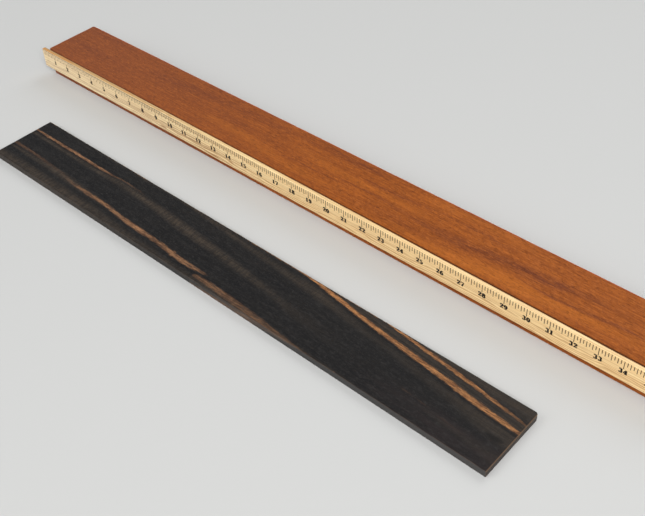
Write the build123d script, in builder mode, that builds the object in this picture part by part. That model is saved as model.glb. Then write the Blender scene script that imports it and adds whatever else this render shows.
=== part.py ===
from build123d import *
import os

# A pair of straight wooden rules that lie parallel on a table.
#
# The rear one is a thick mahogany stock with a thin inch scale hung on its front face. The front one is a
# plain flat ebony rule, loose on the table. +X runs along the scale the way its numbers increase, +Y points
# away from the reader and +Z up. The origin is the centre of the whole pair's footprint, on the table.

# ---- Driving dimensions, in millimetres ----

INCH = 25.4

# Mahogany stock, a square-ended length of 3 inch board
stock_width = 76.0
stock_height = 37.0
stock_edge_radius = 0.8
stock_corner_radius = 3.6

# Inch scale, a one-yard stick standing on edge against the stock
scale_length = 36 * INCH
scale_height = 26.0
scale_thickness = 4.7
scale_edge_radius = 0.35
scale_corner_radius = 1.0
scale_overhang = 8.0      # the zero end stands this far past the stock's end
scale_top_drop = 0.25     # the scale's top edge lies this far below the stock's top face
scale_face_gap = 0.6      # open joint between the scale's back and the stock

# Ebony rule, loose in front of the stock
rule_length = 715.7
rule_width = 80.8
rule_thickness = 8.2
rule_edge_radius = 0.45
rule_corner_radius = 0.8
rule_worn_corner_radius = 3.2   # the right rear corner is worn round
rule_gap = 76.5                 # from the rule's rear edge to the scale's front face
rule_shift = 12.3               # the rule's middle lies this far right of the scale's middle

# Round-head screws that the scale hangs on, No. 4
screw_count = 5
screw_pitch = 200.0
screw_shank_radius = 1.4
screw_head_radius = 2.7
screw_head_height = 1.9
screw_grip = 12.0         # shank inside the stock, point included
screw_point_length = 3.5
driver_slot_width = 0.8
driver_slot_depth = 0.9

# Keyhole slots in the scale's back, one for each screw
slot_lip_thickness = 1.4
slot_clearance = 0.1      # around the shank and around the head
lift_off_travel = 14.0    # from the resting place to the keyhole's round mouth

# ---- Places that follow from them ----

stock_length = scale_length - 2 * scale_overhang
overall_depth = rule_width + rule_gap + scale_thickness + scale_face_gap + stock_width

rule_front_y = -overall_depth / 2
rule_rear_y = rule_front_y + rule_width
scale_front_y = rule_rear_y + rule_gap
scale_back_y = scale_front_y + scale_thickness
stock_front_y = scale_back_y + scale_face_gap
stock_rear_y = overall_depth / 2

scale_top_z = stock_height - scale_top_drop
scale_middle_z = scale_top_z - scale_height / 2

head_seat = scale_face_gap + slot_lip_thickness + slot_clearance / 2   # underside of a head, off the stock


def facing_front(y):
    """A plane square to Y at the scale's mid height: its normal points to the reader and its x along +X."""
    return Plane(origin=(0, y, scale_middle_z), x_dir=(1, 0, 0), z_dir=(0, -1, 0))


# ---- Mahogany stock ----

stock_base = Plane(origin=(0, (stock_front_y + stock_rear_y) / 2, 0))

with BuildPart() as mahogany_stock:
    with BuildSketch(stock_base):
        RectangleRounded(stock_length, stock_width, stock_corner_radius)
    extrude(amount=stock_height)
    by_height = mahogany_stock.edges().group_by(Axis.Z)
    fillet(by_height[0] + by_height[-1], stock_edge_radius)
    # Pilot holes, bored square into the front face
    with BuildSketch(facing_front(stock_front_y)):
        with GridLocations(screw_pitch, 0, screw_count, 1):
            Circle(screw_shank_radius)
    extrude(amount=-screw_grip, mode=Mode.SUBTRACT)

# ---- Inch scale ----

slot_run = scale_overhang + lift_off_travel           # how far a screw can travel along its slot
slot_middle = (lift_off_travel - scale_overhang) / 2  # the slot's middle, measured from the screw at rest
shank_slot_width = 2 * (screw_shank_radius + slot_clearance)
head_slot_width = 2 * (screw_head_radius + slot_clearance)
head_slot_depth = slot_clearance + screw_head_height

with BuildPart() as maple_scale:
    with BuildSketch(facing_front(scale_back_y)):
        RectangleRounded(scale_length, scale_height, scale_corner_radius)
    extrude(amount=scale_thickness)
    by_depth = maple_scale.edges().group_by(Axis.Y)
    fillet(by_depth[0] + by_depth[-1], scale_edge_radius)
    # Narrow slot through the lip, opening into a round mouth that a screw head can enter
    with BuildSketch(facing_front(scale_back_y)):
        with GridLocations(screw_pitch, 0, screw_count, 1):
            with Locations((slot_middle, 0)):
                SlotCenterToCenter(slot_run, shank_slot_width)
            with Locations((lift_off_travel, 0)):
                Circle(head_slot_width / 2)
    extrude(amount=slot_lip_thickness, mode=Mode.SUBTRACT)
    # Undercut behind the lip, where the head runs
    with BuildSketch(facing_front(scale_back_y - slot_lip_thickness)):
        with GridLocations(screw_pitch, 0, screw_count, 1):
            with Locations((slot_middle, 0)):
                SlotCenterToCenter(slot_run, head_slot_width)
    extrude(amount=head_slot_depth, mode=Mode.SUBTRACT)

# ---- Hanger screws ----

# Half section of a screw: local x is the radius and local y the depth into the stock from its front face
half_section = Plane(origin=(0, stock_front_y, scale_middle_z), x_dir=(1, 0, 0), z_dir=(0, 0, 1))
point_start = screw_grip - screw_point_length
head_crown = head_seat + screw_head_height
crown_radius = (screw_head_radius**2 + screw_head_height**2) / (2 * screw_head_height)

with BuildPart() as screw:
    with BuildSketch(half_section):
        with BuildLine():
            Polyline(
                (0, -head_crown),
                (0, screw_grip),
                (screw_shank_radius, point_start),
                (screw_shank_radius, -head_seat),
                (screw_head_radius, -head_seat),
            )
            RadiusArc((screw_head_radius, -head_seat), (0, -head_crown), crown_radius)
        make_face()
    revolve(axis=Axis((0, stock_front_y, scale_middle_z), (0, 1, 0)))
    with BuildSketch(facing_front(stock_front_y - head_crown)):
        Rectangle(2 * screw_head_radius, driver_slot_width)
    extrude(amount=-driver_slot_depth, mode=Mode.SUBTRACT)

with BuildPart() as scale_screws:
    with GridLocations(screw_pitch, 0, screw_count, 1):
        add(screw.part)

# ---- Ebony rule ----

rule_base = Plane(origin=(rule_shift, (rule_front_y + rule_rear_y) / 2, 0))

with BuildPart() as ebony_rule:
    with BuildSketch(rule_base) as outline:
        Rectangle(rule_length, rule_width)
        worn_corner = outline.vertices().sort_by(Axis.X)[-2:].sort_by(Axis.Y)[-1]
        crisp_corners = [corner for corner in outline.vertices() if corner != worn_corner]
        fillet(worn_corner, rule_worn_corner_radius)
        fillet(crisp_corners, rule_corner_radius)
    extrude(amount=rule_thickness)
    by_height = ebony_rule.edges().group_by(Axis.Z)
    fillet(by_height[0] + by_height[-1], rule_edge_radius)

# ---- Write one STEP file for each piece ----

os.makedirs("parts", exist_ok=True)
for name, piece in {
    "mahogany_stock": mahogany_stock,
    "maple_scale": maple_scale,
    "scale_screws": scale_screws,
    "ebony_rule": ebony_rule,
}.items():
    piece.part.label = name
    export_step(piece.part, f"parts/{name}.step")
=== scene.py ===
import bpy
import bmesh
import math
from mathutils import Vector, Matrix, geometry, noise


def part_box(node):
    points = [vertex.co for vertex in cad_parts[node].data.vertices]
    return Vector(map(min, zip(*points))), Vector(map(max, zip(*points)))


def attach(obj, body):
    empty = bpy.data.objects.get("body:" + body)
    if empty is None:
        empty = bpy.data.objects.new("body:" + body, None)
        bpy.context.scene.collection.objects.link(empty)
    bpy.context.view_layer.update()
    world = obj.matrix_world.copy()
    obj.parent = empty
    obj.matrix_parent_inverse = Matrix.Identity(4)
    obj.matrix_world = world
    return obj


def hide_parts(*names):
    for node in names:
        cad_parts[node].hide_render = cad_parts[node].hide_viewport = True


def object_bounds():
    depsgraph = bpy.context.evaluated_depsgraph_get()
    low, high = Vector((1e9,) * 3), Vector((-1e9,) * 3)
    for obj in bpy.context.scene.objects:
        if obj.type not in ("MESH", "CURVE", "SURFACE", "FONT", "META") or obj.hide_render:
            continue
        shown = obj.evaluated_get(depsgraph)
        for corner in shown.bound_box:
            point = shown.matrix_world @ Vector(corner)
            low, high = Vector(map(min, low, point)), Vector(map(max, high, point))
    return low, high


# A pair of parallel wooden rules: a mahogany stock with a maple inch scale hung on its front face, and a
# loose ebony rule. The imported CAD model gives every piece's size and place. Lengths are millimetres in the
# CAD's frame, and become Blender's metres where a mesh is made. Only the stage at the end is in metres.

MM = 0.001
INCH = 25.4

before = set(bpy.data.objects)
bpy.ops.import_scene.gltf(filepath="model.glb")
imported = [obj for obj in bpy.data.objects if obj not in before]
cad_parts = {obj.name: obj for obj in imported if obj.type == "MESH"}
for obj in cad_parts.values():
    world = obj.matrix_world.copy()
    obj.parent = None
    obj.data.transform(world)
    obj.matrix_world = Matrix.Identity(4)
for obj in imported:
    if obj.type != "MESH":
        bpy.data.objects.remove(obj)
cad_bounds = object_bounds()


def box_mm(node):
    """Lowest and highest corner of a CAD node, in millimetres."""
    low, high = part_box(node)
    return low / MM, high / MM


STOCK_LOW, STOCK_HIGH = box_mm("mahogany_stock")
SCALE_LOW, SCALE_HIGH = box_mm("maple_scale")
SCREWS_LOW, SCREWS_HIGH = box_mm("scale_screws")
RULE_LOW, RULE_HIGH = box_mm("ebony_rule")


# ---------------------------------------------------------------- boards

PITCH = 2.0               # from one station to the next along the middle of a board
END_STEPS = 10            # steps over the rounded stretch at each end
ARC_STEPS = 5             # steps round an arris
ROUND_STEPS = 12          # steps round each end of a slot
SWELL_LENGTH = 22.0       # one swell of a board's slow unevenness
SWELL_DEPTH = 0.02        # and how deep it is on the flats
SWELL_BIAS = 0.6          # keeps nearly all of it below the CAD's surface
NICK_LENGTH = 7.0         # the size of a nick in an arris
NICK_THRESHOLD = 0.25     # nicks show only where their noise is above this
EVEN_WEAR = 0.25          # shares of a board's wear depth: all along its arrises
SWELL_WEAR = 0.35         # with the swells
NICK_WEAR = 2.2           # and in the nicks


def smoothstep(value):
    value = min(max(value, 0.0), 1.0)
    return value * value * (3 - 2 * value)


def corner_inset(distance, radius):
    """How far a rounded corner pulls a side in, at this distance from the end."""
    if distance >= radius:
        return 0.0
    return radius - math.sqrt(radius**2 - (radius - distance) ** 2)


def stations(start, end, crowding):
    """Places along a board: even in the middle, and crowded over the last few millimetres at each end."""
    near = [crowding * (1 - math.cos(math.pi / 2 * k / END_STEPS)) for k in range(END_STEPS + 1)]
    count = round((end - start - 2 * crowding) / PITCH)
    middle = [start + crowding + (end - start - 2 * crowding) * k / count for k in range(1, count)]
    return [start + d for d in near] + middle + [end - d for d in reversed(near)]


def section(low, high, radius, side_steps):
    """A rounded rectangle as (u, v, outward u, outward v, share of the way round an arris).

    side_steps is the number of steps along its level sides and along its upright sides.
    """
    points = []
    corners = [(high[0] - radius, high[1] - radius), (low[0] + radius, high[1] - radius),
               (low[0] + radius, low[1] + radius), (high[0] - radius, low[1] + radius)]
    for quarter, (cu, cv) in enumerate(corners):
        for step in range(ARC_STEPS + 1):
            angle = math.pi / 2 * (quarter + step / ARC_STEPS)
            out_u, out_v = math.cos(angle), math.sin(angle)
            arris = math.sin(math.pi * step / ARC_STEPS)
            points.append((cu + radius * out_u, cv + radius * out_v, out_u, out_v, arris))
        next_u, next_v = corners[(quarter + 1) % 4]
        along = Vector((next_u - cu, next_v - cv))
        count = side_steps[quarter % 2]
        angle = math.pi / 2 * (quarter + 1)
        out_u, out_v = math.cos(angle), math.sin(angle)
        for step in range(1, count):
            spot = Vector((cu, cv)) + along * step / count
            points.append((spot.x + radius * out_u, spot.y + radius * out_v, out_u, out_v, 0.0))
    return points


def worn_depth(place, offset, on_edge, wear_depth):
    """How far the surface is worn down: slightly uneven on the flats, and more so with nicks on an arris."""
    swell = noise.fractal(place / SWELL_LENGTH + offset, 1.0, 2.0, 3)
    nick = max(0.0, noise.noise(place / NICK_LENGTH + offset) - NICK_THRESHOLD) ** 2
    on_flats = SWELL_DEPTH * (SWELL_BIAS + swell)
    on_arris = wear_depth * on_edge * (EVEN_WEAR + SWELL_WEAR * swell + NICK_WEAR * nick)
    return max(0.0, on_flats + on_arris)


def board_mesh(name, rings, arrises):
    """One closed mesh through rings of points, smooth but for its flat ends."""
    size = len(rings[0])
    faces = [tuple(range(size))[::-1]]
    for k in range(len(rings) - 1):
        for i in range(size):
            j = (i + 1) % size
            faces.append((k * size + i, k * size + j, (k + 1) * size + j, (k + 1) * size + i))
    faces.append(tuple((len(rings) - 1) * size + i for i in range(size)))
    mesh = bpy.data.meshes.new(name)
    mesh.from_pydata([point * MM for ring in rings for point in ring], [], faces)
    mesh.attributes.new("arris", "FLOAT", "POINT").data.foreach_set("value", arrises)
    for polygon in mesh.polygons:
        polygon.use_smooth = True
    mesh.polygons[0].use_smooth = False
    mesh.polygons[len(mesh.polygons) - 1].use_smooth = False
    mesh.update()
    return mesh


def make_board(name, low, high, arris_radius, corner_radius, wear_depth, seed, flat_pitch=2.0,
               corners_in="xy", worn_corner=0.0):
    """A straight board along X as one closed mesh, with eased and slightly worn arrises.

    wear_depth is how far its arrises are typically worn down in their nicks and swells.
    flat_pitch is the distance between vertices across its sides.
    corners_in says which face shows the board's four rounded corners: xy (lying flat) or xz (on edge).
    worn_corner is the radius of the corner at the high X and high Y end, if it is larger.
    Every vertex carries "arris", 1 on an arris and 0 on the flats, for the material's worn edges.
    """
    rings = []
    arrises = []
    offset = Vector((seed * 31.7, seed * 17.3, seed * 5.9))
    reach = max(corner_radius, worn_corner, arris_radius)
    side_steps = (round((high.y - low.y) / flat_pitch), round((high.z - low.z) / flat_pitch))
    for x in stations(low.x, high.x, reach):
        from_end = min(x - low.x, high.x - x)
        right = x > (low.x + high.x) / 2
        plain = corner_inset(from_end, corner_radius)
        worn = corner_inset(from_end, worn_corner) if right and worn_corner else plain
        ease = corner_inset(from_end, arris_radius)
        if corners_in == "xy":
            side_low, side_high = (low.y + plain, low.z + ease), (high.y - worn, high.z - ease)
        else:
            side_low, side_high = (low.y + ease, low.z + plain), (high.y - ease, high.z - plain)
        end_arris = smoothstep(1 - from_end / (2 * arris_radius))
        ring = []
        for y, z, out_y, out_z, arris in section(side_low, side_high, arris_radius, side_steps):
            place = Vector((x, y, z))
            on_edge = max(arris, end_arris)
            depth = worn_depth(place, offset, on_edge, wear_depth)
            ring.append(place - Vector((0, out_y, out_z)) * depth)
            arrises.append(on_edge)
        rings.append(ring)
    board = bpy.data.objects.new(name, board_mesh(name, rings, arrises))
    bpy.context.scene.collection.objects.link(board)
    return board


def stadium(start, end, z, radius):
    """The outline (x, z) of a slot with round ends, given the ends' middles; a circle where they are one."""
    points = []
    for middle, turn in ((end, -90), (start, 90)):
        for k in range(ROUND_STEPS + 1):
            angle = math.radians(turn + 180 * k / ROUND_STEPS)
            point = (middle + radius * math.cos(angle), z + radius * math.sin(angle))
            if not points or math.dist(point, points[-1]) > 1e-6:
                points.append(point)
    return points if math.dist(points[0], points[-1]) > 1e-6 else points[:-1]


def cut(board, outlines, front, back):
    """Cut a straight hole from front to back, along Y, through each outline (x, z)."""
    mesh = bpy.data.meshes.new("cutter")
    solid = bmesh.new()
    for outline in outlines:
        rims = [[solid.verts.new(Vector((x, y, z)) * MM) for x, z in outline] for y in (front, back)]
        solid.faces.new(rims[0])
        solid.faces.new(rims[1][::-1])
        for k in range(len(outline)):
            n = (k + 1) % len(outline)
            solid.faces.new((rims[0][n], rims[0][k], rims[1][k], rims[1][n]))
    bmesh.ops.recalc_face_normals(solid, faces=solid.faces[:])
    solid.to_mesh(mesh)
    solid.free()
    cutter = bpy.data.objects.new("cutter", mesh)
    bpy.context.scene.collection.objects.link(cutter)
    modifier = board.modifiers.new("cut", "BOOLEAN")
    modifier.operation = "DIFFERENCE"
    modifier.solver = "EXACT"
    modifier.object = cutter
    finished = bpy.data.meshes.new_from_object(board.evaluated_get(bpy.context.evaluated_depsgraph_get()))
    board.modifiers.clear()
    board.data = finished
    bpy.data.objects.remove(cutter)


def finish_piece(piece, body, slot, material, *nodes):
    """Put a piece on its body, with its material, in place of its CAD nodes."""
    piece.data.materials.clear()
    piece.data.materials.append(material)
    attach(piece, body)
    if nodes:
        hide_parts(*nodes)


# ---------------------------------------------------------------- the scale's print

GLYPH_HEIGHT = 5.4
GLYPH_WIDEN = 1.2        # figures are drawn a little wider than their outlines below
GLYPH_PITCH = 4.7        # from one figure's middle to the next in a two-figure number
THICK = 0.165            # half widths of a figure's strokes, in shares of its height
THIN = 0.085
INK_PROUD = 0.02         # the ink stands this far off the wood
INK_SUNK = 0.12          # and its solid reaches this far in
NUMBER_DROP = 13.4       # from the scale's top edge to the middle of the numbers
TICK_START = 0.5         # from the scale's top edge to the top of every graduation
TICK_HALF_WIDTH = 0.36
TICK_LENGTHS = {8: 9.7, 4: 7.4, 2: 6.8, 1: 5.2}   # whole, half, quarter and eighth inches


def ribbon(points):
    """The left and right sides of a stroke, from its middle line's points (x, y, half width)."""
    left, right = [], []
    for k, (x, y, half) in enumerate(points):
        x0, y0, _ = points[max(k - 1, 0)]
        x1, y1, _ = points[min(k + 1, len(points) - 1)]
        run = math.hypot(x1 - x0, y1 - y0)
        across_x, across_y = -(y1 - y0) / run, (x1 - x0) / run
        left.append((x + across_x * half, y + across_y * half))
        right.append((x - across_x * half, y - across_y * half))
    return [left, right]


def arc(cx, cy, rx, ry, start, end):
    """A curved stroke: thick where it runs upright and thin where it runs level, as a broad pen makes it."""
    steps = max(6, round(abs(end - start) / 15))
    points = []
    for k in range(steps + 1):
        turn = math.radians(start + (end - start) * k / steps)
        half = THIN + (THICK - THIN) * abs(math.cos(turn)) ** 1.3
        points.append((cx + rx * math.cos(turn), cy + ry * math.sin(turn), half))
    return ribbon(points)


def line(x0, y0, x1, y1, half0, half1=None):
    """A straight stroke, tapering from half0 to half1 if that is given."""
    return ribbon([(x0, y0, half0), (x1, y1, half0 if half1 is None else half1)])


def ball(cx, cy, radius=0.1):
    """The round blob that ends a curved stroke."""
    return ribbon([(cx + radius * math.cos(math.pi * k / 8), cy, radius * math.sin(math.pi * k / 8) + 1e-4)
                   for k in range(9)])


# Each figure stands on y = 0 and is 1 high and about 0.62 wide, centred on x = 0
GLYPHS = {
    "0": [arc(0, 0.5, 0.2, 0.455, 0, 360)],
    "1": [line(0, 0.03, 0, 1.0, THICK), line(-0.2, 0.8, 0, 0.95, THIN), line(-0.22, THIN, 0.22, THIN, THIN)],
    "2": [arc(0, 0.7, 0.19, 0.255, 165, -30), line(0.165, 0.585, -0.2, 0.12, THICK * 0.9, THIN),
          line(-0.26, 0.09, 0.27, 0.09, 0.09), line(0.25, 0.06, 0.28, 0.27, THIN), ball(-0.17, 0.73)],
    "3": [arc(-0.02, 0.745, 0.17, 0.21, 150, -90), arc(-0.02, 0.275, 0.2, 0.235, 90, -150),
          ball(-0.16, 0.8, 0.09), ball(-0.17, 0.2)],
    "4": [line(0.06, 0.97, -0.27, 0.32, THIN), line(-0.3, 0.29, 0.3, 0.29, THIN * 1.1),
          line(0.1, 0.03, 0.1, 1.0, THICK), line(-0.1, THIN, 0.29, THIN, THIN)],
    "5": [line(-0.17, 0.91, 0.2, 0.93, 0.075), line(-0.17, 0.96, -0.19, 0.5, THIN),
          arc(-0.02, 0.325, 0.2, 0.285, 130, -150), ball(-0.18, 0.2)],
    "6": [arc(0.01, 0.31, 0.19, 0.27, 0, 360), arc(0.16, 0.42, 0.34, 0.53, 85, 190), ball(0.17, 0.84, 0.09)],
    "7": [line(-0.24, 0.9, 0.27, 0.9, 0.09), line(-0.25, 0.96, -0.28, 0.72, THIN),
          line(0.25, 0.88, -0.05, 0.0, THIN * 1.1, THICK)],
    "8": [arc(0, 0.74, 0.16, 0.215, 0, 360), arc(0, 0.27, 0.2, 0.235, 0, 360)],
    "9": [arc(-0.01, 0.69, 0.19, 0.27, 0, 360), arc(-0.16, 0.58, 0.34, 0.53, -95, 10),
          ball(-0.17, 0.16, 0.09)],
}


def glyph_triangles(character):
    """One clean sheet of triangles for a figure, with its overlapping strokes made into one."""
    points, quads = [], []
    for left, right in GLYPHS[character]:
        start = len(points)
        for a, b in zip(left, right):
            points += [Vector(a), Vector(b)]
        for k in range(len(left) - 1):
            i = start + 2 * k
            quads.append([i, i + 1, i + 3, i + 2])
    merged, _, faces, _, _, sources = geometry.delaunay_2d_cdt(points, [], quads, 1, 1e-4)
    return [point.copy() for point in merged], [face for face, source in zip(faces, sources) if source]


def on_scale(x, drop, depth):
    """A point on the scale's front face: x along it, drop below its top edge, depth into the wood."""
    return Vector((x, SCALE_LOW.y + depth, SCALE_HIGH.z - drop)) * MM


def ink_object(name, sheets):
    """Thin closed solids standing on the scale's face, from flat sheets of (x, drop) points and faces."""
    mesh = bpy.data.meshes.new(name)
    solid = bmesh.new()
    for points, faces in sheets:
        vertices = [solid.verts.new(on_scale(x, drop, -INK_PROUD)) for x, drop in points]
        made = [solid.faces.new([vertices[i] for i in face]) for face in faces]
        for vertex in [v for v in vertices if not v.link_faces]:
            solid.verts.remove(vertex)
        back = bmesh.ops.extrude_face_region(solid, geom=made)
        moved = [item for item in back["geom"] if isinstance(item, bmesh.types.BMVert)]
        bmesh.ops.translate(solid, verts=moved, vec=Vector((0, INK_PROUD + INK_SUNK, 0)) * MM)
    bmesh.ops.recalc_face_normals(solid, faces=solid.faces[:])
    solid.to_mesh(mesh)
    solid.free()
    piece = bpy.data.objects.new(name, mesh)
    bpy.context.scene.collection.objects.link(piece)
    return piece


def ticks():
    """Graduations at every eighth of an inch between the scale's two ends."""
    sheets = []
    eighths = round((SCALE_HIGH.x - SCALE_LOW.x) / INCH * 8)
    for eighth in range(1, eighths):
        x = SCALE_LOW.x + eighth * INCH / 8
        length = next(TICK_LENGTHS[step] for step in (8, 4, 2, 1) if eighth % step == 0)
        half = TICK_HALF_WIDTH
        corners = [(x - half, TICK_START), (x + half, TICK_START),
                   (x + half, TICK_START + length), (x - half, TICK_START + length)]
        sheets.append((corners, [(0, 1, 2, 3)]))
    return ink_object("scale_ticks", sheets)


def numerals():
    """A number under every inch graduation."""
    shapes = {character: glyph_triangles(character) for character in GLYPHS}
    sheets = []
    inches = round((SCALE_HIGH.x - SCALE_LOW.x) / INCH)
    for inch in range(1, inches):
        text = str(inch)
        middle = SCALE_LOW.x + inch * INCH
        for place, character in enumerate(text):
            x = middle + (place - (len(text) - 1) / 2) * GLYPH_PITCH
            points, faces = shapes[character]
            flat = [(x + p.x * GLYPH_HEIGHT * GLYPH_WIDEN, NUMBER_DROP - (p.y - 0.5) * GLYPH_HEIGHT)
                    for p in points]
            sheets.append((flat, faces))
    return ink_object("scale_numerals", sheets)


# ---------------------------------------------------------------- shader graphs

def srgb(red, green, blue):
    """A linear RGBA colour from display values of 0 to 255."""
    shares = [value / 255 for value in (red, green, blue)]
    linear = [((share + 0.055) / 1.055) ** 2.4 if share > 0.04045 else share / 12.92 for share in shares]
    return (*linear, 1.0)


class Graph:
    """A material's node graph, built by nested calls. Its coordinates are the part's, in millimetres."""

    def __init__(self, name):
        self.material = bpy.data.materials.new(name)
        self.material.use_nodes = True
        self.tree = self.material.node_tree
        self.tree.nodes.clear()
        coordinates = self.tree.nodes.new("ShaderNodeTexCoord")
        metres = coordinates.outputs["Object"]
        self.place = self.node("VectorMath", metres, [1 / MM] * 3, operation="MULTIPLY")
        self.x, self.y, self.z = self.split(self.place)
        self.out_x, self.out_y, self.out_z = self.split(coordinates.outputs["Normal"])

    def feed(self, socket, value):
        if isinstance(value, bpy.types.NodeSocket):
            self.tree.links.new(value, socket)
        elif value is not None:
            socket.default_value = value

    def node(self, kind, *values, out=0, **settings):
        node = self.tree.nodes.new("ShaderNode" + kind)
        for key, value in settings.items():
            setattr(node, key, value)
        for socket, value in zip(node.inputs, values):
            self.feed(socket, value)
        return node.outputs[out]

    def split(self, vector):
        node = self.tree.nodes.new("ShaderNodeSeparateXYZ")
        self.feed(node.inputs[0], vector)
        return node.outputs

    def math(self, operation, *values):
        return self.node("Math", *values, operation=operation)

    def add(self, a, b):
        return self.math("ADD", a, b)

    def times(self, a, b):
        return self.math("MULTIPLY", a, b)

    def span(self, value, low, high, to_low=0.0, to_high=1.0):
        """value from low to high becomes to_low to to_high, held at the ends and eased between them."""
        return self.node("MapRange", value, low, high, to_low, to_high, interpolation_type="SMOOTHSTEP")

    def vector(self, x, y, z):
        return self.node("CombineXYZ", x, y, z)

    def noise(self, size, detail=3.0, roughness=0.5, place=None, shift=0.0, distortion=0.0):
        """Noise about 0.5, whose features measure size (x, y, z) millimetres."""
        scaled = self.node("VectorMath", place or self.place, size, operation="DIVIDE")
        moved = self.node("VectorMath", scaled, [shift] * 3, operation="ADD")
        node = self.tree.nodes.new("ShaderNodeTexNoise")
        for key, value in {"Vector": moved, "Scale": 1.0, "Detail": detail, "Roughness": roughness,
                           "Distortion": distortion}.items():
            self.feed(node.inputs[key], value)
        return node.outputs[0]

    def mix(self, factor, a, b):
        """Colour a where factor is 0, and colour b where it is 1."""
        node = self.tree.nodes.new("ShaderNodeMix")
        node.data_type = "RGBA"
        for key, value in ((0, factor), (6, a), (7, b)):
            self.feed(node.inputs[key], value)
        return node.outputs[2]

    def curve(self, value, points, low, high):
        """A smooth line through points (position, value); low and high bound the values."""
        first, last = points[0][0], points[-1][0]
        node = self.tree.nodes.new("ShaderNodeFloatCurve")
        knots = node.mapping.curves[0].points
        for _ in range(len(points) - 2):
            knots.new(0.5, 0.5)
        for knot, (position, level) in zip(knots, points):
            knot.location = ((position - first) / (last - first), (level - low) / (high - low))
        node.mapping.update()
        self.feed(node.inputs["Value"], self.node("MapRange", value, first, last, 0.0, 1.0))
        return self.node("MapRange", node.outputs[0], 0.0, 1.0, low, high)

    def streak(self, x, y, path, softness):
        """Weight of one streak of the wood's figure.

        path holds (x, y, half width, strength) from left to right, and its end values hold beyond its ends.
        softness is how gradually the streak fades at its sides, with 0 for a hard edge.
        """
        ys = [p[1] for p in path]
        middle = self.curve(x, [(p[0], p[1]) for p in path], min(ys) - 1, max(ys) + 1)
        half = self.curve(x, [(p[0], p[2]) for p in path], 0.0, max(p[2] for p in path) + 0.1)
        strength = self.curve(x, [(p[0], p[3]) for p in path], 0.0, 1.0)
        away = self.math("DIVIDE", self.math("ABSOLUTE", self.math("SUBTRACT", y, middle)), half)
        across = self.span(away, 1 - softness, 1 + softness * 0.5, 1.0, 0.0)
        return self.times(across, strength)

    def strongest(self, weights):
        result = weights[0]
        for weight in weights[1:]:
            result = self.math("MAXIMUM", result, weight)
        return result

    def surface(self, color, roughness, height=None, relief=0.0, specular=0.5, coat=0.0, metallic=0.0):
        """Close the graph with a Principled surface; relief is how deep a height of 1 is, in millimetres."""
        bump = self.tree.nodes.new("ShaderNodeBump")
        self.feed(bump.inputs["Height"], height)
        self.feed(bump.inputs["Distance"], relief * MM)
        shader = self.tree.nodes.new("ShaderNodeBsdfPrincipled")
        for key, value in {"Base Color": color, "Roughness": roughness, "Normal": bump.outputs[0],
                           "Specular IOR Level": specular, "Coat Weight": coat,
                           "Metallic": metallic}.items():
            self.feed(shader.inputs[key], value)
        output = self.tree.nodes.new("ShaderNodeOutputMaterial")
        self.tree.links.new(shader.outputs[0], output.inputs[0])
        return self.material


def sawn_end(g):
    """1 on the board's two ends, 0 along its sides."""
    return g.span(g.math("ABSOLUTE", g.out_x), 0.75, 0.95)


def wear(g, patch, least, most):
    """How worn the arrises are: from least to most, in patches about patch millimetres long."""
    arris = g.node("Attribute", attribute_name="arris", out=2)
    amount = g.span(g.noise((patch, patch / 2.5, patch / 2.5), 3.0), 0.32, 0.61, least, most)
    return g.times(g.times(arris, amount), g.math("SUBTRACT", 1.0, sawn_end(g)))


# ---------------------------------------------------------------- materials

# Streaks of figure are listed as (x, y, half width, strength), from left to right along a board.

# Darker clouds in the mahogany's top
MAHOGANY_CLOUDS = [
    [(-450, 110, 5, 0.2), (-400, 112, 8, 0.7), (-330, 114, 5, 0.0)],
    [(-450, 79, 6, 0.5), (-400, 80, 7, 0.6), (-345, 78, 4, 0.0)],
    [(-300, 92, 4, 0.0), (-255, 94, 8, 0.9), (-200, 95, 9, 0.9), (-150, 101, 8, 0.8), (-90, 104, 7, 0.8),
     (-20, 109, 6, 0.7), (40, 111, 6, 0.9), (90, 113, 4, 0.0)],
    [(-175, 78, 4, 0.0), (-140, 80, 8, 0.6), (-95, 78, 4, 0.0)],
    [(-60, 70, 1, 0.0), (-30, 70.5, 1.6, 0.8), (20, 71.5, 1.6, 0.7), (60, 72, 1, 0.0)],
    [(30, 76, 1, 0.0), (80, 76.5, 2.2, 0.7), (150, 75, 4, 0.7), (200, 72, 9, 0.8), (240, 77, 9, 0.9),
     (290, 83, 10, 1.0), (330, 88, 7, 0.8), (390, 93, 4, 0.2), (440, 94, 4, 0.0)],
    [(60, 92, 2, 0.0), (105, 92.5, 3, 0.8), (150, 96, 2, 0.5), (200, 98, 2.5, 0.5), (260, 98, 2, 0.0)],
    [(80, 60, 4, 0.0), (125, 61, 6, 0.6), (170, 62, 5, 0.3), (210, 63, 3, 0.0)],
    [(270, 65, 1, 0.0), (310, 67, 2, 0.8), (370, 71, 2.2, 0.8), (448, 73, 2.5, 0.7)],
]

# Golden streaks between them
MAHOGANY_LIGHTS = [
    [(110, 50, 4, 0.0), (160, 51, 6, 0.6), (215, 52, 8, 0.9), (270, 56, 9, 1.0), (330, 60, 8, 0.9),
     (400, 64, 6, 0.4), (446, 66, 4, 0.0)],
    [(-180, 62, 3, 0.0), (-120, 66, 6, 0.8), (-60, 62, 7, 0.6), (0, 60, 6, 0.5), (60, 62, 4, 0.0)],
    [(-60, 92, 4, 0.0), (0, 88, 6, 0.5), (60, 84, 5, 0.6), (110, 84, 5, 0.5), (160, 88, 4, 0.0)],
    [(120, 106, 4, 0.0), (180, 110, 6, 0.6), (240, 110, 6, 0.5), (300, 108, 4, 0.0)],
]


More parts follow.
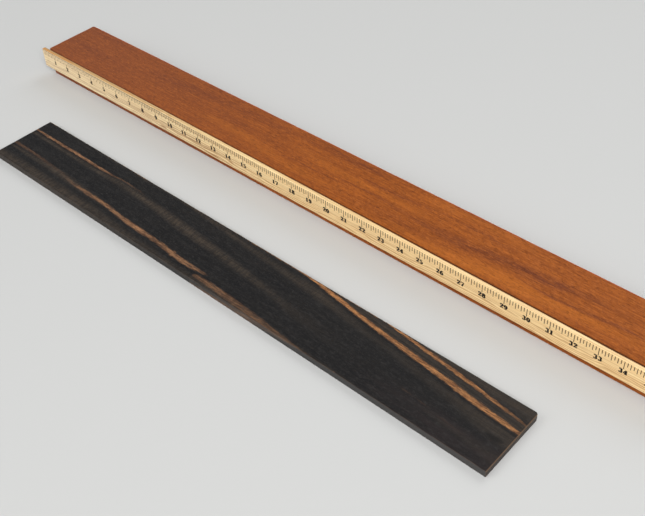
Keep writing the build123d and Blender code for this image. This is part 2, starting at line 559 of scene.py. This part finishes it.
def mahogany():
    g = Graph("mahogany")
    golden, brown, plum = srgb(180, 98, 33), srgb(136, 70, 25), srgb(98, 48, 31)
    # The y at which the figure's lists are read: it wanders a little, and leans over down through the board
    wander = g.span(g.noise((90, 24, 24), 2.0), 0.2, 0.8, -4, 4)
    lean = g.times(g.math("SUBTRACT", g.z, STOCK_HIGH.z), 0.55)
    y = g.add(g.add(g.y, wander), lean)
    fibre = g.noise((44, 1.7, 1.7), 4.0, 0.7, distortion=0.2)
    colour = g.mix(g.span(fibre, 0.25, 0.75), golden, brown)
    # Interlocked grain: short slanting flakes that catch the light one way, then the other
    slanted = g.vector(g.add(g.x, g.times(g.y, 0.8)), g.y, g.z)
    flakes = g.noise((3.4, 4.4, 4.4), 3.0, 0.65, place=slanted, shift=4.0)
    colour = g.mix(g.span(flakes, 0.36, 0.66, 0.0, 0.55), colour, brown)
    # Broad bands, golden streaks and dark clouds
    broad = g.noise((150, 12, 12), 4.0, 0.6, shift=9.0)
    colour = g.mix(g.span(broad, 0.38, 0.76, 0.0, 0.2), colour, plum)
    lights = g.strongest([g.streak(g.x, y, path, 0.95) for path in MAHOGANY_LIGHTS])
    colour = g.mix(g.times(lights, 0.4), colour, srgb(200, 114, 38))
    clouds = g.strongest([g.streak(g.x, y, path, 0.95) for path in MAHOGANY_CLOUDS])
    mottle = g.span(g.noise((18, 2.6, 2.6), 4.0, 0.65, shift=1.0), 0.3, 0.68, 0.25, 1.0)
    cloudy = g.times(g.times(clouds, mottle), g.span(g.x, 120, 220, 0.66, 0.86))
    colour = g.mix(cloudy, colour, plum)
    # The board is pinker toward its left end
    colour = g.mix(g.span(g.x, 160, -450, 0.0, 0.55), colour, srgb(128, 76, 58))
    # Short dark pores and bright flecks
    pores = g.span(g.noise((7, 0.8, 0.8), 2.0, 0.6, shift=2.0), 0.55, 0.66)
    colour = g.mix(g.times(pores, 0.42), colour, srgb(76, 38, 20))
    flecks = g.span(g.noise((6, 1.1, 1.1), 2.0, 0.5, shift=7.0), 0.55, 0.68)
    colour = g.mix(g.times(flecks, 0.24), colour, srgb(206, 122, 60))
    # End grain: darker, with open pores as dots
    dots = g.span(g.noise((0.7, 0.7, 0.7), 2.0, 0.6), 0.56, 0.66)
    rings = g.span(g.noise((300, 3.0, 46), 3.0, 0.5, shift=3.0, distortion=0.4), 0.35, 0.65)
    end_grain = g.mix(rings, srgb(142, 76, 40), srgb(84, 40, 22))
    end_grain = g.mix(g.times(dots, 0.75), end_grain, srgb(38, 17, 10))
    colour = g.mix(sawn_end(g), colour, end_grain)
    # Rubbed red arrises, but not at the joint with the scale
    from_joint = g.math("SUBTRACT", g.y, STOCK_LOW.y)
    near_top = g.span(g.z, STOCK_HIGH.z - 2.5, STOCK_HIGH.z - 1.0)
    worn = wear(g, 14, 0.6, 0.95)
    colour = g.mix(g.times(worn, g.span(from_joint, 2.0, 4.0)), colour, srgb(200, 92, 46))
    rear_rim = g.times(g.span(g.y, STOCK_HIGH.y - 2.0, STOCK_HIGH.y - 1.0), near_top)
    colour = g.mix(g.times(rear_rim, 0.5), colour, srgb(196, 86, 42))
    # Painted shadow along the joint with the scale, darker to the right
    grime_and_shade = g.times(g.span(from_joint, 0.5, 1.5, 0.9, 0.0), near_top)
    colour = g.mix(g.times(grime_and_shade, g.span(g.x, -440, 300, 0.25, 0.8)), colour, srgb(44, 24, 14))
    height = g.math("SUBTRACT", g.times(fibre, 0.35), pores)
    roughness = g.span(fibre, 0.3, 0.7, 0.42, 0.56)
    return g.surface(colour, roughness, height, 0.12, specular=0.10)


def maple():
    g = Graph("maple")
    up = g.math("SUBTRACT", g.z, SCALE_LOW.z)
    top = SCALE_HIGH.z - SCALE_LOW.z
    fibre = g.noise((150, 1.1, 1.1), 4.0, 0.6)
    colour = g.mix(g.span(fibre, 0.3, 0.7), srgb(255, 230, 174), srgb(246, 210, 152))
    # Growth lines 2.7 mm apart, in patches and stronger in the lower half
    warp = g.span(g.noise((80, 9, 9), 3.0, shift=5.0), 0.2, 0.8, -3.0, 3.0)
    phase = g.math("FRACT", g.math("DIVIDE", g.add(g.add(up, warp), g.times(g.y, 0.8)), 2.7))
    growth = g.times(g.span(phase, 0.1, 0.7), g.span(phase, 0.72, 1.0, 1.0, 0.0))
    patches = g.span(g.noise((60, 4, 4), 2.0, shift=2.0), 0.3, 0.6, 0.35, 0.95)
    patchy = g.times(patches, g.span(g.x, -440, -150, 0.85, 1.0))
    low_half = g.span(up, 9.0, 17.0, 1.0, 0.34)
    colour = g.mix(g.times(g.times(growth, patchy), low_half), colour, srgb(160, 106, 52))
    # Short flecks, and long fine lines that are stronger toward the zero end
    flecks = g.span(g.noise((3.0, 0.6, 0.6), 2.0, 0.5, shift=8.0), 0.60, 0.74)
    colour = g.mix(g.times(flecks, 0.3), colour, srgb(184, 138, 88))
    hairs = g.span(g.noise((320, 1.0, 1.0), 1.0, 0.5, shift=10.0), 0.54, 0.62)
    colour = g.mix(g.times(hairs, g.span(g.x, -150, 60, 0.55, 0.2)), colour, srgb(164, 114, 66))
    # Amber patches on the top edge, which is browner toward the zero end
    on_top = g.span(up, top - 0.7, top - 0.2)
    to_zero = g.span(g.x, -60, -430)
    colour = g.mix(g.times(g.times(on_top, to_zero), 0.75), colour, srgb(184, 136, 80))
    patches_on_top = g.times(g.span(g.noise((40, 3, 60), 2.0, shift=1.5), 0.54, 0.64), on_top)
    amber = g.times(patches_on_top, g.span(to_zero, 0.0, 1.0, 0.25, 0.7))
    colour = g.mix(amber, colour, srgb(204, 132, 60))
    # A grey line just below the top arris at the zero end, and general grime
    below_arris = g.times(g.span(up, top - 2.1, top - 1.5), g.span(up, top - 0.9, top - 0.5, 1.0, 0.0))
    arris_line = g.times(below_arris, g.span(g.x, -40, -300, 0.0, 0.95))
    colour = g.mix(g.times(arris_line, g.span(patchy, 0.3, 0.6, 0.7, 1.0)), colour, srgb(84, 70, 44))
    grime_and_shade = g.span(g.noise((34, 14, 14), 4.0, 0.6, shift=6.0), 0.5, 0.75)
    colour = g.mix(g.times(grime_and_shade, 0.16), colour, srgb(150, 116, 78))
    # The sides are paler toward the zero end, and the whole stick is warmer to the right
    off_top = g.math("SUBTRACT", 1.0, on_top)
    colour = g.mix(g.times(g.times(to_zero, off_top), 0.3), colour, srgb(250, 234, 202))
    colour = g.mix(g.span(g.x, -150, 60, 0.0, 0.35), colour, srgb(244, 200, 138))
    # End grain with open pores, and pale rubbed arrises
    dots = g.span(g.noise((0.4, 0.4, 0.4), 2.0), 0.5, 0.65)
    end_grain = g.mix(dots, srgb(206, 168, 112), srgb(150, 112, 70))
    colour = g.mix(sawn_end(g), colour, end_grain)
    colour = g.mix(wear(g, 20, 0.3, 0.9), colour, srgb(252, 222, 170))
    # Painted shadow along the joint with the stock
    joint_shadow = g.span(g.y, SCALE_HIGH.y - 0.9, SCALE_HIGH.y - 0.1)
    colour = g.mix(g.times(joint_shadow, 0.6), colour, srgb(64, 44, 26))
    height = g.add(g.times(fibre, 0.5), g.times(growth, -0.4))
    roughness = g.span(fibre, 0.3, 0.7, 0.34, 0.46)
    return g.surface(colour, roughness, height, 0.06, specular=0.4, coat=0.1)


# The lists of the ebony's figure put the rule's rear edge at this y
EBONY_REAR = -38.4

# Bright streaks in the ebony
EBONY_BRIGHT = [
    [(-345, -59.4, 1.6, 0.8), (-300, -59.4, 1.6, 0.8), (-262, -59.0, 1.8, 0.95), (-215, -59.6, 1.7, 0.9),
     (-195, -59.4, 1.3, 0.4), (-180, -57.6, 1.1, 0.35), (-140, -59.6, 0.9, 0.0)],
    [(-44, -105.0, 0.6, 0.0), (-40, -105.4, 4.4, 1.0), (-37, -105.8, 0.6, 0.0)],
    [(198.6, -119.2, 0.3, 0.0), (200, -119.4, 0.9, 1.0), (201.4, -119.4, 0.3, 0.0)],
    [(258, -93.4, 0.4, 0.0), (265, -93.6, 0.9, 0.12), (276, -94.2, 0.6, 0.03), (284, -95.2, 0.9, 0.1),
     (298, -96.4, 0.4, 0.0)],
    [(300, -97.8, 0.4, 0.0), (312, -98.8, 1.1, 0.1), (324, -99.6, 0.8, 0.06), (336, -100.6, 0.4, 0.0)],
    [(-345, -91.2, 2.2, 0.22), (-300, -91.8, 2.2, 0.25), (-280, -93.0, 2.2, 0.15), (-245, -95.0, 2.2, 0.08),
     (-222, -98.0, 2.0, 0.3), (-195, -98.8, 2.3, 0.6), (-160, -99.0, 2.6, 0.8), (-135, -101.4, 2.7, 0.75),
     (-100, -102.8, 3.5, 1.0), (-70, -103.5, 2.9, 0.75), (-41, -105.4, 3.1, 0.95), (-15, -106.5, 2.8, 0.85),
     (2, -105.4, 2.0, 0.6), (14, -105.2, 0.6, 0.0)],
    [(0, -113.0, 1.0, 0.0), (20, -112.6, 3.4, 0.55), (50, -113.8, 3.8, 0.55), (80, -115.4, 4.0, 0.5),
     (120, -117.8, 3.4, 0.4), (150, -119.4, 2.4, 0.25), (185, -120.6, 1.2, 0.0)],
    [(74, -38.2, 0.6, 0.8), (100, -39.6, 1.5, 1.0), (136, -43.6, 2.4, 1.0), (176, -48.8, 2.7, 0.95),
     (216, -53.6, 2.7, 0.9), (256, -57.4, 2.8, 1.0), (296, -61.4, 2.9, 1.0), (336, -65.6, 2.9, 0.95),
     (358, -67.6, 2.6, 0.9), (366, -68.2, 2.2, 0.7), (371, -68.6, 1.6, 0.2)],
    [(196, -38.2, 0.7, 0.7), (226, -40.6, 1.5, 0.95), (256, -43.6, 2.0, 0.95), (296, -47.8, 1.9, 0.95),
     (330, -51.8, 1.7, 0.85), (350, -54.4, 1.5, 0.5), (366, -56.8, 1.2, 0.3), (372, -57.6, 1.0, 0.0)],
]

# Dull brown bands and clouds
EBONY_DULL = [
    [(-345, -65.4, 2.4, 0.7), (-280, -65.4, 2.8, 0.75), (-220, -65.4, 3.2, 0.6), (-180, -63.6, 4.6, 0.7),
     (-104, -66.4, 5.6, 0.9), (-50, -70.5, 6.4, 0.95), (0, -73.8, 5.8, 0.9), (50, -78.0, 5.0, 0.7),
     (86, -81.0, 5.0, 0.45), (120, -86.0, 7.0, 0.3), (190, -88.0, 8.0, 0.0)],
    [(-345, -97.6, 2.0, 0.6), (-290, -97.4, 3.6, 0.65), (-245, -96.8, 5.0, 0.75), (-210, -98.0, 5.2, 0.5),
     (-150, -101.0, 5.0, 0.2), (-100, -103.0, 4.5, 0.0)],
    [(-345, -115.0, 6.0, 0.6), (-240, -114.5, 7.0, 0.75), (-150, -116.0, 6.5, 0.65), (-60, -118.0, 5.0, 0.5),
     (0, -119.0, 5.0, 0.5), (60, -118.5, 6.0, 0.6), (120, -119.5, 5.0, 0.6), (200, -121.0, 3.5, 0.5),
     (260, -121.5, 3.0, 0.3), (372, -121.5, 2.0, 0.3)],
    [(-150, -38.4, 2.0, 0.3), (-104, -39.0, 2.4, 0.6), (-44, -42.0, 3.2, 0.7), (16, -45.8, 4.0, 0.55),
     (76, -50.2, 4.6, 0.65), (116, -52.0, 6.4, 0.75), (160, -57.5, 5.0, 0.55), (220, -64.0, 5.0, 0.35),
     (290, -72.0, 7.0, 0.45), (340, -77.0, 10.0, 0.7), (372, -81.0, 13.0, 0.8)],
    [(120, -37.0, 4.0, 0.5), (180, -43.0, 5.0, 0.8), (250, -50.0, 6.0, 0.85), (320, -57.5, 6.5, 0.8),
     (372, -62.0, 6.6, 0.8)],
    [(220, -36.0, 5.0, 0.5), (290, -40.0, 7.0, 0.8), (372, -45.0, 9.0, 0.8)],
    [(280, -99.0, 2.0, 0.0), (310, -101.0, 4.0, 0.3), (340, -103.0, 5.0, 0.3), (372, -105.0, 8.0, 0.5)],
]

# Black lines that edge the figure, and the swirl round a small knot
EBONY_BLACK = [
    [(120, -47.0, 1.0, 0.0), (176, -53.4, 1.3, 0.8), (256, -62.2, 1.5, 0.9), (336, -70.4, 1.6, 0.9),
     (372, -73.6, 1.6, 0.9)],
    [(150, -39.0, 1.0, 0.4), (216, -47.6, 1.3, 0.7), (296, -54.6, 1.4, 0.7), (372, -62.4, 1.4, 0.6)],
    [(-345, -61.4, 0.8, 0.5), (-250, -61.8, 1.0, 0.6), (-190, -60.4, 0.8, 0.0)],
    [(344, -87.0, 1.0, 0.0), (350, -86.5, 3.0, 1.0), (358, -86.0, 3.4, 1.0), (365, -85.5, 1.0, 0.0)],
]


def ebony():
    g = Graph("ebony")
    # The y at which the figure's lists are read: it wanders, jitters, and leans over down through the board
    wander = g.span(g.noise((70, 14, 14), 2.0, 0.5), 0.2, 0.8, -0.7, 0.7)
    jitter = g.span(g.noise((7, 0.9, 0.9), 3.0, 0.7, shift=3.0), 0.25, 0.75, -0.9, 0.9)
    lean = g.times(g.math("SUBTRACT", RULE_HIGH.z, g.z), 0.9)
    from_rear = g.add(g.y, EBONY_REAR - RULE_HIGH.y)
    y = g.add(g.add(from_rear, lean), g.add(wander, jitter))
    # Black ground with greyer fibres and specks
    fibre = g.noise((30, 1.1, 1.1), 4.0, 0.7, shift=1.0)
    grit = g.noise((3.0, 1.3, 1.3), 3.0, 0.7, shift=4.0)
    coarse = g.noise((80, 9, 9), 4.0, 0.6, shift=5.0)
    colour = g.mix(g.span(coarse, 0.38, 0.72, 0.0, 0.8), srgb(19, 19, 21), srgb(30, 28, 27))
    colour = g.mix(g.span(fibre, 0.42, 0.72, 0.0, 0.5), colour, srgb(54, 52, 51))
    colour = g.mix(g.span(grit, 0.52, 0.68, 0.0, 0.6), colour, srgb(62, 60, 59))
    # Dull bands, broken by a fine ripple across the grain in the left half
    dull = g.strongest([g.streak(g.x, y, path, 0.95) for path in EBONY_DULL])
    ripple = g.span(g.noise((1.8, 12, 12), 2.0, 0.6, shift=8.0), 0.4, 0.6, 0.45, 1.0)
    rippled = g.math("MAXIMUM", ripple, g.span(g.x, 20, 150, 0.0, 0.8))
    band = g.times(g.times(dull, g.span(fibre, 0.25, 0.65, 0.4, 1.0)), rippled)
    colour = g.mix(g.times(band, 0.78), colour, srgb(92, 79, 66))
    # Bright streaks: tan, but redder and dimmer to the left and along the front
    bright = g.strongest([g.streak(g.x, y, path, 0.5) for path in EBONY_BRIGHT])
    grain = g.noise((12, 1.5, 1.5), 3.0, 0.7, shift=6.0)
    tan = g.mix(g.span(grain, 0.36, 0.64), srgb(236, 166, 104), srgb(156, 102, 62))
    dim_tan = g.mix(g.span(grain, 0.4, 0.6), srgb(160, 120, 90), srgb(100, 74, 58))
    dim = g.math("MAXIMUM", g.span(g.x, 60, -40), g.span(g.y, -84, -96))
    tan = g.mix(g.times(dim, 0.78), tan, dim_tan)
    gaps = g.span(g.noise((5, 1.8, 1.8), 3.0, 0.7, shift=12.0), 0.3, 0.6, 0.65, 1.0)
    glow = g.times(bright, g.times(g.span(fibre, 0.25, 0.6, 0.55, 1.0), gaps))
    colour = g.mix(glow, colour, tan)
    # Black edging lines, and a board that darkens to the right
    black = g.strongest([g.streak(g.x, y, path, 0.8) for path in EBONY_BLACK])
    colour = g.mix(g.times(black, 0.8), colour, srgb(20, 19, 19))
    colour = g.mix(g.span(g.x, -250, 372, 0.04, 0.42), colour, srgb(12, 9, 8))
    # A brown cast on the front right quarter, cloudy grey all over, and open pores
    cast = g.times(g.span(g.x, 180, 330), g.span(y, -84, -104))
    colour = g.mix(g.times(cast, g.span(coarse, 0.35, 0.6, 0.1, 0.45)), colour, srgb(48, 38, 38))
    cloudy = g.span(g.noise((9, 4, 4), 4.0, 0.65, shift=15.0), 0.5, 0.66, 0.0, 0.24)
    colour = g.mix(cloudy, colour, srgb(60, 57, 56))
    pores = g.span(g.noise((3.4, 0.45, 0.45), 2.0, 0.6, shift=2.0), 0.58, 0.68)
    colour = g.mix(g.times(pores, 0.6), colour, srgb(14, 13, 13))
    # End grain
    dots = g.span(g.noise((0.4, 0.4, 0.4), 2.0), 0.5, 0.65)
    end_grain = g.mix(dots, srgb(62, 53, 47), srgb(36, 32, 29))
    colour = g.mix(g.times(sawn_end(g), 0.75), colour, end_grain)
    # Painted light: the front side is painted a lighter grey, more so to the right
    side = g.times(g.span(g.out_y, -0.75, -0.95), g.span(g.x, -200, 350, 0.08, 0.55))
    colour = g.mix(side, colour, srgb(88, 86, 84))
    # The top is rubbed down to tan along its right end
    near_top = g.span(g.z, RULE_HIGH.z - 1.5, RULE_HIGH.z - 0.5)
    rubbed = g.times(g.span(g.x, RULE_HIGH.x - 0.9, RULE_HIGH.x - 0.5, 0.0, 0.3), near_top)
    colour = g.mix(rubbed, colour, srgb(150, 112, 76))
    colour = g.mix(wear(g, 18, 0.15, 0.7), colour, srgb(98, 84, 72))
    height = g.math("SUBTRACT", g.times(fibre, 0.5), pores)
    roughness = g.span(fibre, 0.3, 0.7, 0.46, 0.60)
    return g.surface(colour, roughness, height, 0.08, specular=0.18)


def ink(name, faded):
    """Black print, rubbed off in specks. faded is how much of the wood shows through it at the zero end."""
    g = Graph(name)
    wood = srgb(172, 126, 88)
    gaps = g.span(g.noise((0.9, 0.9, 0.35), 3.0, 0.6), 0.6, 0.74)
    rubbed = g.span(g.x, -460, -150, 0.55, 0.2)
    colour = g.mix(g.times(gaps, rubbed), srgb(16, 15, 12), wood)
    colour = g.mix(g.span(g.x, -460, -40, faded, faded * 0.15), colour, wood)
    return g.surface(colour, 0.6, gaps, 0.01, specular=0.15)


def brass():
    g = Graph("brass")
    tarnish = g.noise((1.4, 1.4, 1.4), 4.0, 0.6)
    colour = g.mix(g.span(tarnish, 0.35, 0.7), srgb(214, 174, 96), srgb(140, 104, 52))
    roughness = g.span(tarnish, 0.3, 0.7, 0.22, 0.42)
    return g.surface(colour, roughness, tarnish, 0.02, metallic=1.0)


# ---------------------------------------------------------------- the hanger screws' holes and slots

SCREW_COUNT = 5
SHANK_RADIUS = 1.4
HEAD_RADIUS = (SCREWS_HIGH.z - SCREWS_LOW.z) / 2
SCREW_Z = (SCREWS_HIGH.z + SCREWS_LOW.z) / 2
FIRST_SCREW = SCREWS_LOW.x + HEAD_RADIUS
SCREW_PITCH = (SCREWS_HIGH.x - SCREWS_LOW.x - 2 * HEAD_RADIUS) / (SCREW_COUNT - 1)
PILOT_PLAY = 0.03         # room round a screw's shank in the stock
SLOT_PLAY = 0.1           # room round its shank and its head in the scale
SLOT_LIP = 1.4            # wood left between a screw's head and the scale's back
SLOT_LEFT = 8.0           # the slots' reach from the screws at rest
SLOT_RIGHT = 14.0
MARGIN = 1.0              # a cut starts this far outside the wood


def at_screws(left, right, radius):
    """A slot's outline at each screw, from left to right of its resting place; a hole where they are one."""
    screws = [FIRST_SCREW + k * SCREW_PITCH for k in range(SCREW_COUNT)]
    return [stadium(x + left, x + right, SCREW_Z, radius) for x in screws]


# ---------------------------------------------------------------- the object

def make_stock():
    stock = make_board("stock_board", STOCK_LOW, STOCK_HIGH, arris_radius=0.8, corner_radius=3.6,
                       wear_depth=0.35, seed=1, flat_pitch=3.0)
    cut(stock, at_screws(0, 0, SHANK_RADIUS + PILOT_PLAY), STOCK_LOW.y - MARGIN, SCREWS_HIGH.y)
    finish_piece(stock, "stock", "mahogany", mahogany(), "mahogany_stock")


def make_scale():
    """The stick, with keyhole slots in its back: each is a narrow slot, its round mouth and an undercut."""
    stick = make_board("scale_stick", SCALE_LOW, SCALE_HIGH, arris_radius=0.35, corner_radius=1.0,
                       wear_depth=0.25, seed=2, flat_pitch=1.2, corners_in="xz")
    slots = at_screws(-SLOT_LEFT, SLOT_RIGHT, SHANK_RADIUS + SLOT_PLAY)
    mouths = at_screws(SLOT_RIGHT, SLOT_RIGHT, HEAD_RADIUS + SLOT_PLAY)
    undercuts = at_screws(-SLOT_LEFT, SLOT_RIGHT, HEAD_RADIUS + SLOT_PLAY)
    lip_front = SCALE_HIGH.y - SLOT_LIP
    cut(stick, slots, lip_front, SCALE_HIGH.y + MARGIN)
    cut(stick, mouths, lip_front, SCALE_HIGH.y + MARGIN)
    cut(stick, undercuts, SCREWS_LOW.y - SLOT_PLAY, lip_front)
    finish_piece(stick, "scale", "maple", maple(), "maple_scale")


def make_rule():
    rule = make_board("rule_board", RULE_LOW, RULE_HIGH, arris_radius=0.45, corner_radius=0.8,
                      wear_depth=0.3, seed=3, worn_corner=3.2)
    finish_piece(rule, "rule", "ebony", ebony(), "ebony_rule")


def make_print():
    finish_piece(ticks(), "scale", "maple", ink("tick_ink", faded=0.5))
    finish_piece(numerals(), "scale", "maple", ink("numeral_ink", faded=0.1))


def make_screws():
    """The screws keep their CAD shape."""
    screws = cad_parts["scale_screws"]
    screws.data.materials.clear()
    screws.data.materials.append(brass())


make_stock()
make_scale()
make_rule()
make_print()
make_screws()

# ---------------------------------------------------------------- the stage

# Lengths here are metres, but for the camera's lens and sensor
FLOOR_SIDE = 24.0
FLOOR_DROP = 0.0002       # the floor lies this far below the object
LIGHTS = {                # name: (place, side of its square, power in watts)
    "key": ((3.9, -2.7, 3.76), 2.7, 325.0),
    "fill": ((-3.3, -4.2, 4.2), 4.8, 118.0),
    "back": ((-0.6, 4.5, 3.9), 4.2, 108.0),
}
SKY_COLOUR = (0.9, 0.92, 0.95, 1.0)
SKY_STRENGTH = 0.28
CAMERA_PLACE = Vector((0.6077, -0.5498, 0.6970))
CAMERA_RIGHT = Vector((0.7442, 0.6668, -0.0388)).normalized()
CAMERA_AHEAD = Vector((-0.5107, 0.5307, -0.6764))
LENS = 54.38
SENSOR_WIDTH = 36.0


def make_floor():
    half = FLOOR_SIDE / 2
    corners = [(-half, -half, 0), (half, -half, 0), (half, half, 0), (-half, half, 0)]
    mesh = bpy.data.meshes.new("floor")
    mesh.from_pydata(corners, [], [(0, 1, 2, 3)])
    g = Graph("floor")
    mesh.materials.append(g.surface(srgb(206, 206, 204), 0.85, specular=0.0))
    floor = bpy.data.objects.new("floor", mesh)
    bpy.context.scene.collection.objects.link(floor)
    floor.location.z = cad_bounds[0][2] - FLOOR_DROP


def make_light(name, place, side, power):
    """A square light, turned to the origin."""
    data = bpy.data.lights.new(name, "AREA")
    data.size = side
    data.energy = power
    light = bpy.data.objects.new(name, data)
    bpy.context.scene.collection.objects.link(light)
    light.location = place
    light.rotation_euler = (-Vector(place)).to_track_quat("-Z", "Y").to_euler()


def make_sky():
    world = bpy.data.worlds.new("studio")
    world.use_nodes = True
    background = world.node_tree.nodes["Background"]
    background.inputs["Color"].default_value = SKY_COLOUR
    background.inputs["Strength"].default_value = SKY_STRENGTH
    bpy.context.scene.world = world


def make_camera():
    """The photograph's viewpoint: from the right front, above, with a slight roll."""
    data = bpy.data.cameras.new("camera")
    data.sensor_width = SENSOR_WIDTH
    data.lens = LENS
    camera = bpy.data.objects.new("camera", data)
    bpy.context.scene.collection.objects.link(camera)
    up = CAMERA_RIGHT.cross(CAMERA_AHEAD).normalized()
    turn = Matrix((CAMERA_RIGHT, up, CAMERA_RIGHT.cross(up))).transposed().to_4x4()
    camera.matrix_world = Matrix.Translation(CAMERA_PLACE) @ turn
    bpy.context.scene.camera = camera


make_floor()
for name, (place, side, power) in LIGHTS.items():
    make_light(name, place, side, power)
make_sky()
make_camera()
bpy.context.scene.view_settings.view_transform = "Standard"
